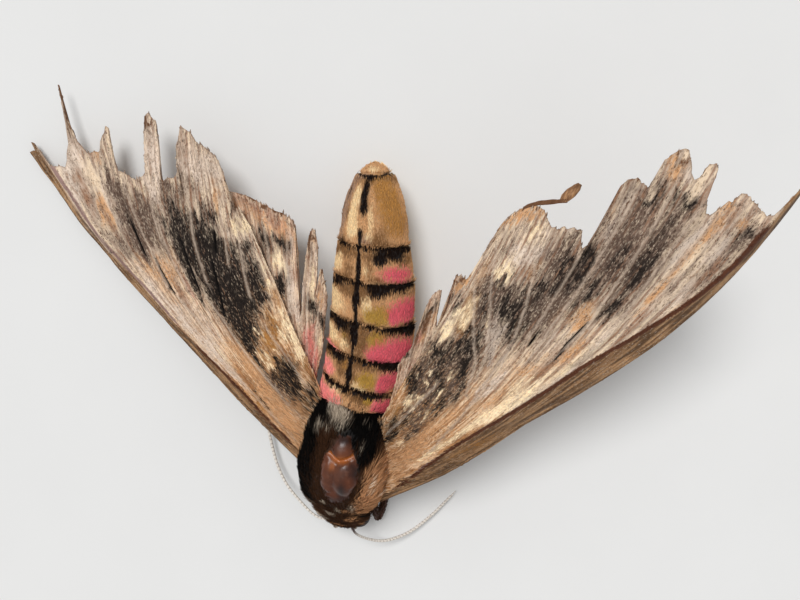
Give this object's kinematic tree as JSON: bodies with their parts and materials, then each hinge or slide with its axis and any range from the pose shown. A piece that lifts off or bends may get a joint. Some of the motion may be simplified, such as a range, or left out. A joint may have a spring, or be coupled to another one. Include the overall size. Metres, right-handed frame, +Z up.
{
  "type": "hawk moth model",
  "caption": "Life-size still model of a worn privet hawk moth with tattered wings, one side raised and the other drooping to the floor.",
  "frame": {"origin": "on the floor under the middle of the moth's box", "axes": "+Z up; -Y toward the moth's head; +X toward the moth's own left side, where the wings are raised"},
  "size_m": [0.0796, 0.0554, 0.0273],
  "materials": {
    "head_fur": "fine brown scale fur",
    "thorax_fur": "blackish scale fur, worn bald in the middle",
    "abdomen_scales": "tan, olive, pink and black banded scales",
    "forewing": "worn membrane with brown, grey and black scales",
    "hindwing": "worn membrane with pink and black scales",
    "eye": "dark glossy compound eye",
    "antenna": "pale ringed feeler",
    "leg": "dark reddish brown shell with scales"
  },
  "bodies": {
    "root": {"head": "head_fur", "eye_left": "eye", "eye_right": "eye", "palp_left": "head_fur", "palp_right": "head_fur", "proboscis": "leg", "antenna_right": "antenna", "antenna_left": "antenna", "thorax": "thorax_fur", "abdomen_1": "abdomen_scales", "abdomen_2": "abdomen_scales", "abdomen_3": "abdomen_scales", "abdomen_4": "abdomen_scales", "abdomen_5": "abdomen_scales", "abdomen_6": "abdomen_scales", "abdomen_7": "abdomen_scales", "forewing_right": "forewing", "forewing_left": "forewing", "hindwing_right": "hindwing", "hindwing_left": "hindwing", "tegula_left": "thorax_fur", "tegula_right": "thorax_fur", "foreleg_right_femur": "leg", "foreleg_right_tibia": "leg", "foreleg_right_tarsus": "leg", "midleg_right_femur": "leg", "midleg_right_tibia": "leg", "midleg_right_tarsus": "leg", "hindleg_right_femur": "leg", "hindleg_right_tibia": "leg", "hindleg_right_tarsus": "leg", "foreleg_left_femur": "leg", "foreleg_left_tibia": "leg", "foreleg_left_tarsus": "leg", "midleg_left_femur": "leg", "midleg_left_tibia": "leg", "midleg_left_tarsus": "leg", "hindleg_left_femur": "leg", "hindleg_left_tibia": "leg", "hindleg_left_tarsus": "leg"}
  },
  "joints": []
}
